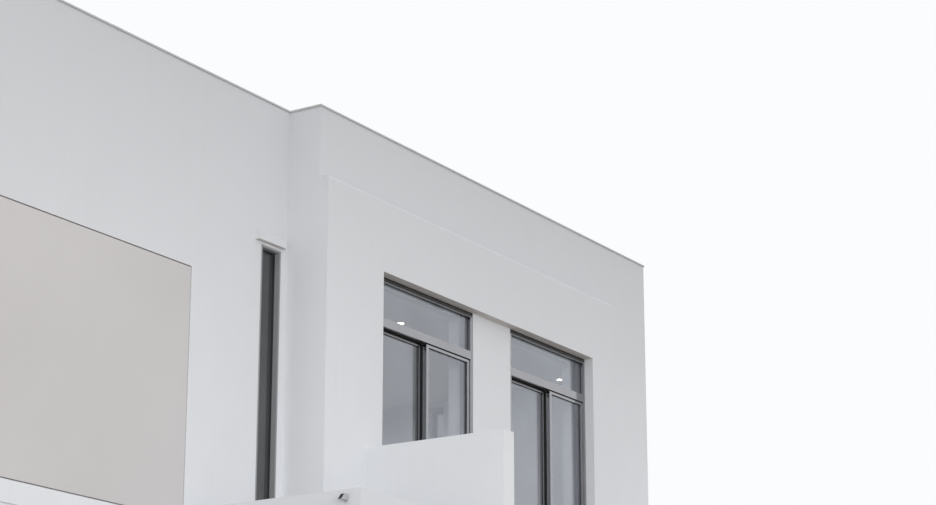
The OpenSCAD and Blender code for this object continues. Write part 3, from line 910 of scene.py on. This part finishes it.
def makeLowRoof():
    # welded sheet over the low roof, turned up at its walls, with a drain near the corner
    floorZ = terraceHigh.z
    sheet = siteBlock("lowRoofMembrane", (terraceLow.x, leftWing[0]), (terraceLow.y, 0),
                      (floorZ, floorZ + tray["upstand"]))
    editPiece(sheet)
    pickAll()
    bpy.ops.mesh.bisect(plane_co=corner, plane_no=(1, 0, 0))
    pickFaces(sheet, lambda c, n: n.y > 0.9 and c.x < corner.x)
    extrude(0, leftLow.y, 0)
    pickFaces(sheet, looking(up))
    bpy.ops.mesh.delete(type="FACE")
    faceOutward()
    thicken(sheet, tray["sheet"])
    roundEdges(sheet, tray["round"])
    finishPiece(sheet, membrane)
    cover = startDisc("lowRoofDrain", site(*drain["at"], floorZ + drain["foot"] / 2),
                      drain["radius"], drain["foot"])
    editPiece(cover)
    pickFaces(cover, looking(up))
    inset(drain["rim"])
    extrude(0, 0, drain["rise"])
    bpy.ops.transform.resize(value=(drain["taper"], drain["taper"], 1))
    inset(drain["lip"])
    extrude(0, 0, -drain["well"])
    leaveEdit()
    roundEdges(cover, drain["round"])
    finishPiece(cover, cappingSteel)


makeLowRoof()

bead = {"low": 114.5, "thick": 5.5, "reach": 14.5, "round": 1}


def makeBaseBeads():
    # the metal bead that ends the render at the foot of the walls, along the slab's edge
    ring = copyNode("baseBeads", "ground_slab")
    for height, normal in ((bead["low"], -1), (bead["low"] + bead["thick"], 1)):
        pickAll()
        bpy.ops.mesh.bisect(plane_co=(0, 0, height / 1000), plane_no=(0, 0, normal),
                            clear_outer=True)
    openFaces(ring, looking(up, down))
    thicken(ring, bead["reach"], 1)
    roundEdges(ring, bead["round"])
    finishPiece(ring, sillMetal)


makeBaseBeads()

# out and back are counted from the wall's face, low and high from the middle of the foot
lantern = {"out": 87, "back": 6, "slant": 40, "half": 18, "low": -3, "high": 42, "round": 3,
           "glassRim": 3.5, "glassDepth": 2, "glassDrop": 1.2, "glassSheet": 1.5,
           "footRadius": 13, "footDepth": 16, "footStep": (3, 2), "footRound": 0.8}


def makeWallLight():
    low, high = siteBox("wall_light")
    x, y, z = high.x, (low.y + high.y) / 2, high.z - lantern["high"]
    body = siteBlock("lanternBody", (x - lantern["out"], x - lantern["back"]),
                     (y - lantern["half"], y + lantern["half"]),
                     (z + lantern["low"], z + lantern["high"]))
    edge = site(x - lantern["out"], y, z + lantern["high"])
    editPiece(body)
    pickEdges(body, lambda a, b: all(near(p.x, edge.x) and near(p.z, edge.z) for p in (a, b)))
    bpy.ops.transform.translate(value=(lantern["slant"] / 1000, 0, 0))
    pickFaces(body, lambda c, n: n.x < -0.3 and n.z > 0.3)
    inset(lantern["glassRim"])
    bpy.ops.mesh.duplicate()
    bpy.ops.mesh.separate(type="SELECTED")
    leaveEdit()
    glass = next(o for o in bpy.context.selected_objects if o is not body)
    editPiece(body)
    pickFaces(body, lambda c, n: n.x < -0.3 and n.z > 0.3 and abs(c.y - edge.y) < 0.001)
    outward = Vector((lantern["low"] - lantern["high"], 0, lantern["slant"])).normalized()
    extrude(*(outward * -lantern["glassDepth"]))
    leaveEdit()
    roundEdges(body, lantern["round"], 3, 60)
    foot = startDisc("lanternFoot", site(x - lantern["footDepth"] / 2, y, z),
                     lantern["footRadius"], lantern["footDepth"], 32, (0, math.pi / 2, 0))
    stepFaces(foot, Vector((-1, 0, 0)), lantern["footStep"])
    roundEdges(foot, lantern["footRound"])
    piece = finishPiece(joined("wallLightBody", [body, foot]), lightBody)
    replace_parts(piece, "wall_light")
    glass.name = "wallLightGlass"
    glass.data.transform(Matrix.Translation(outward * -lantern["glassDrop"] / 1000))
    thicken(glass, lantern["glassSheet"])
    finishPiece(glass, darkGlass)


makeWallLight()

downlight = {"rim": 11, "recess": 5, "round": 1.2, "lens": 38.5, "lensDepth": 2.2,
             "lensUp": 3, "crown": 12, "crownDrop": 1.8}


def makeDownlights():
    trims, lenses = [], []
    for low, high in solidBoxes("downlights"):
        middle, size = (low + high) / 2, (high - low) * 1000
        trim = startDisc("trim", middle, size.x / 2, size.z)
        stepFaces(trim, down, (downlight["rim"], -downlight["recess"]))
        roundEdges(trim, downlight["round"])
        trims.append(trim)
        lens = startDisc("lens", (middle.x, middle.y, high.z - downlight["lensUp"] / 1000),
                         downlight["lens"], downlight["lensDepth"])
        editPiece(lens)
        pickFaces(lens, looking(down))
        inset(downlight["crown"])
        bpy.ops.transform.translate(value=(0, 0, -downlight["crownDrop"] / 1000))
        leaveEdit()
        lenses.append(lens)
    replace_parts(finishPiece(joined("downlightLenses", lenses), litOpal), "downlights")
    finishPiece(joined("downlightTrims", trims), lightBody)


makeDownlights()

rain = {"hopperRound": 1.5, "collars": (2150, 4300, 6480), "collarHeight": 70, "collarOver": 5,
        "collarSheet": 4, "clips": (700, 2900, 5100), "clipHeight": 28, "clipOver": 3,
        "clipSheet": 2.5, "clipRound": 0.8, "stemHalf": 9, "stemHigh": 12, "stemGap": 1,
        "footDepth": 3, "footPlate": (2.4, 1, 1.5), "fittingRound": 1.2,
        "shoeRadius": 64, "shoeHeight": 40, "shoeStep": (12, 8), "shoeRound": 3}
# openings in the back wall, with the flange of their sheet lining on the roof side
scupper = {"half": 90, "low": 6760, "high": 6840, "sheet": 2, "proud": 2,
           "flange": 22, "flangeSheet": 1.8}
pipes = solidBoxes("downpipes")
pipeRadius = (pipes[0][1].x - pipes[0][0].x) * 500
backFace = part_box("upper_back_wall")[1].y


def makeCollar(x, y, z):
    over = rain["collarOver"]
    collar = startDisc("collar", (x, y, z / 1000), pipeRadius + over, rain["collarHeight"])
    editPiece(collar)
    pickFaces(collar, looking(up, down))
    inset(over)
    bpy.ops.mesh.delete(type="FACE")
    faceOutward()
    thicken(collar, rain["collarSheet"])
    roundEdges(collar, rain["fittingRound"])
    return collar


def makeClip(x, y, z):
    clip = startDisc("clip", (x, y, z / 1000), pipeRadius + rain["clipOver"], rain["clipHeight"])
    openFaces(clip, looking(up, down))
    thicken(clip, rain["clipSheet"])
    roundEdges(clip, rain["clipRound"])
    half, high = rain["stemHalf"] / 1000, rain["stemHigh"] / 1000
    stemEnd = y - (pipeRadius + rain["stemGap"]) / 1000
    stem = startBlock("stem", (x - half, backFace, z / 1000 - high),
                      (x + half, stemEnd, z / 1000 + high))
    editPiece(stem)
    pickFaces(stem, looking(front))
    extrude(0, rain["footDepth"], 0)
    bpy.ops.transform.resize(value=rain["footPlate"])
    leaveEdit()
    roundEdges(stem, rain["fittingRound"])
    return [clip, stem]


def makeShoe(x, y):
    shoe = startDisc("shoe", (x, y, rain["shoeHeight"] / 2000), rain["shoeRadius"],
                     rain["shoeHeight"])
    stepFaces(shoe, up, rain["shoeStep"])
    roundEdges(shoe, rain["shoeRound"])
    return shoe


def makeSleeve(x):
    inside = site(0, backWallY - scupper["proud"], 0).y
    half, low, high = scupper["half"] / 1000, scupper["low"] / 1000, scupper["high"] / 1000
    sleeve = startBlock("sleeve", (x - half, inside, low), (x + half, backFace, high))
    openFaces(sleeve, looking(front, -front))
    thicken(sleeve, scupper["sheet"])
    rim = 2 * scupper["flange"]
    flange = startRing("flange", 2 * scupper["half"] + rim, scupper["high"] - scupper["low"] + rim,
                       scupper["flange"], (x, inside, (low + high) / 2))
    thicken(flange, scupper["flangeSheet"])
    return [sleeve, flange]


def makePipeFittings():
    parts, sleeves = [], []
    for low, high in pipes:
        x, y = (low.x + high.x) / 2, (low.y + high.y) / 2
        parts += [makeCollar(x, y, z) for z in rain["collars"]]
        for z in rain["clips"]:
            parts += makeClip(x, y, z)
        parts.append(makeShoe(x, y))
        sleeves += makeSleeve(x)
    finishPiece(joined("pipeFittings", parts), rainwaterSteel)
    finishPiece(joined("scupperSleeves", sleeves), roofSteel)


softenNode("rainheadHoppers", "rainheads", rain["hopperRound"], 25, rainwaterSteel)
makePipeFittings()

lock = {"edge": 80, "z": 1180, "radius": 26, "stand": 8, "steps": ((9, -3), (4, 6)),
        "round": 0.9, "keyHalf": 1, "keyHigh": 5, "keyOut": (12, 10.5), "keyRound": 0.6}
viewer = {"z": 1640, "radius": 13, "depth": 4, "step": (4, -2), "round": 0.6}
rainBar = {"inset": 10, "up": 10, "height": 42, "out": 32, "fall": 26, "round": 2}
doorSeal = {"over": 3, "face": 9, "depth": 10, "back": 2, "round": 1.5}
leafLow, leafHigh = siteBox("entry_door")


def makeLock(toWall):
    x, y, z = leafHigh.x - lock["edge"], leafLow.y, lock["z"]
    rose = startDisc("lockRose", site(x, y - lock["stand"] / 2, z), lock["radius"], lock["stand"],
                     turn=toWall)
    stepFaces(rose, front, *lock["steps"])
    roundEdges(rose, lock["round"])
    back, face = lock["keyOut"]
    key = siteBlock("lockKeyway", (x - lock["keyHalf"], x + lock["keyHalf"]),
                    (y - back, y - face), (z - lock["keyHigh"], z + lock["keyHigh"]))
    editPiece(key)
    pickAll()
    bpy.ops.mesh.bevel(offset=lock["keyRound"] / 1000, segments=2, affect="EDGES")
    leaveEdit()
    return rose, key


def makeRainBar():
    low, high = leafLow.z + rainBar["up"], leafLow.z + rainBar["up"] + rainBar["height"]
    bar = siteBlock("rainBar", (leafLow.x + rainBar["inset"], leafHigh.x - rainBar["inset"]),
                    (leafLow.y - rainBar["out"], leafLow.y), (low, high))
    edge = site(0, leafLow.y - rainBar["out"], high)
    editPiece(bar)
    pickEdges(bar, lambda a, b: all(near(p.y, edge.y) and near(p.z, edge.z) for p in (a, b)))
    bpy.ops.transform.translate(value=(0, 0, -rainBar["fall"] / 1000))
    leaveEdit()
    roundEdges(bar, rainBar["round"])
    return bar


def makeDoorFittings():
    middle, size, toWall = (leafLow + leafHigh) / 2, leafHigh - leafLow, (math.pi / 2, 0, 0)
    rose, key = makeLock(toWall)
    eye = startDisc("viewer", site(middle.x, leafLow.y - viewer["depth"] / 2, viewer["z"]),
                    viewer["radius"], viewer["depth"], 32, toWall)
    stepFaces(eye, front, viewer["step"])
    roundEdges(eye, viewer["round"])
    finishPiece(joined("doorFittings", [rose, eye, makeRainBar()]), handleMetal)
    finishPiece(key, rubber)
    over = 2 * doorSeal["over"]
    ring = startRing("doorSeal", size.x + over, size.z + over, doorSeal["face"],
                     site(middle.x, leafLow.y + doorSeal["back"], middle.z))
    extrude(0, -doorSeal["depth"], 0)
    faceOutward()
    roundEdges(ring, doorSeal["round"])
    finishPiece(ring, rubber)


makeDoorFittings()

stageValues = {"size": 600, "colour": "#cecbc6", "fadeStart": 20.0, "fadeEnd": 48.0}
skyValues = {"shown": "#fbfcfe", "light": "#fcfcfe", "horizon": 0.42, "zenith": 1.20}
softboxes = {
    "streetBox": {"place": (-50, -60, 9), "aim": (0, -4.2, 4), "size": (52, 20), "watts": 21600},
    "gardenBox": {"place": (44, 64, 9), "aim": (0, 4.2, 4), "size": (52, 20), "watts": 18400},
    "roomBox": {"place": (0.5, -0.5, 6.35), "aim": (0.5, -0.5, 3), "size": (9, 6), "watts": 100},
    "lowerRoomBox": {"place": (0.5, -0.5, 3.2), "aim": (0.5, -0.5, 0), "size": (9, 6),
                     "watts": 100},
}


def seenShare(tree):
    # 1 for all that is looked at, straight, in a mirror or through glass, and 0 for light
    path = addNode(tree, "LightPath")
    seen = path.outputs["Is Camera Ray"]
    for ray in ("Is Glossy Ray", "Is Transmission Ray"):
        seen = addNode(tree, "Math", {0: seen, 1: path.outputs[ray]}, operation="MAXIMUM")
    return seen


def makeFloor():
    clearPick()
    bpy.ops.mesh.primitive_plane_add(size=stageValues["size"])
    floor = nameNew("stageFloor")
    material, tree, place = newMaterial("stage floor, matt")
    length = addNode(tree, "VectorMath", {0: place}, operation="LENGTH")
    fade = addNode(tree, "MapRange", {
        "Value": length.outputs["Value"], "From Min": stageValues["fadeStart"],
        "From Max": stageValues["fadeEnd"]}, interpolation_type="SMOOTHSTEP")
    share = addNode(tree, "Math", {0: fade, 1: seenShare(tree)}, operation="MULTIPLY")
    matt = addNode(tree, "BsdfDiffuse", {"Color": linear(stageValues["colour"])})
    glow = addNode(tree, "Emission", {"Color": linear(skyValues["shown"])})
    floor.data.materials.append(closeMaterial(material, addNode(tree, "MixShader", {
        0: share, 1: matt, 2: glow})))


def makeWorld():
    world = bpy.data.worlds.new("soft overcast dome")
    scene.world = world
    world.use_nodes = True
    tree = world.node_tree
    tree.nodes.clear()
    direction = addNode(tree, "TexCoord")
    height = addNode(tree, "SeparateXYZ", {0: direction.outputs["Generated"]})
    level = addNode(tree, "MapRange", {
        "Value": height.outputs["Z"], "To Min": skyValues["horizon"],
        "To Max": skyValues["zenith"]})
    dome = addNode(tree, "Background", {"Color": linear(skyValues["light"]), "Strength": level})
    shown = addNode(tree, "Background", {"Color": linear(skyValues["shown"])})
    mix = addNode(tree, "MixShader", {0: seenShare(tree), 1: dome, 2: shown})
    addNode(tree, "OutputWorld", {"Surface": mix})


def makeSoftbox(name, values):
    lamp = bpy.data.lights.new(name, "AREA")
    lamp.shape = "RECTANGLE"
    lamp.size, lamp.size_y = values["size"]
    lamp.energy = values["watts"]
    box = bpy.data.objects.new(name, lamp)
    box.location = values["place"]
    aim = Vector(values["aim"]) - Vector(values["place"])
    box.rotation_euler = aim.to_track_quat("-Z", "Y").to_euler()
    box.visible_camera = False
    box.visible_glossy = False
    scene.collection.objects.link(box)


makeFloor()
makeWorld()
for boxName, boxValues in softboxes.items():
    makeSoftbox(boxName, boxValues)
print("floor, sky and", len(softboxes), "softboxes")

cameraValues = {"place": (-13.8149, -15.0054, 1.10), "yaw": 32.7726, "pitch": 15.7049,
                "lens": 86.8312, "shiftY": 0.05, "clip": (0.1, 2000)}


def makeCamera():
    lens = bpy.data.cameras.new("street view")
    camera = bpy.data.objects.new("street view", lens)
    scene.collection.objects.link(camera)
    yaw, pitch = math.radians(cameraValues["yaw"]), math.radians(cameraValues["pitch"])
    ahead = Vector((math.cos(pitch) * math.cos(yaw), math.cos(pitch) * math.sin(yaw),
                    math.sin(pitch)))
    camera.location = cameraValues["place"]
    camera.rotation_euler = ahead.to_track_quat("-Z", "Y").to_euler()
    lens.lens = cameraValues["lens"]
    lens.shift_y = cameraValues["shiftY"]
    lens.clip_start, lens.clip_end = cameraValues["clip"]
    lens.dof.use_dof = False
    scene.camera = camera
    print("camera at", cameraValues["place"], "with a", cameraValues["lens"], "mm lens")


makeCamera()
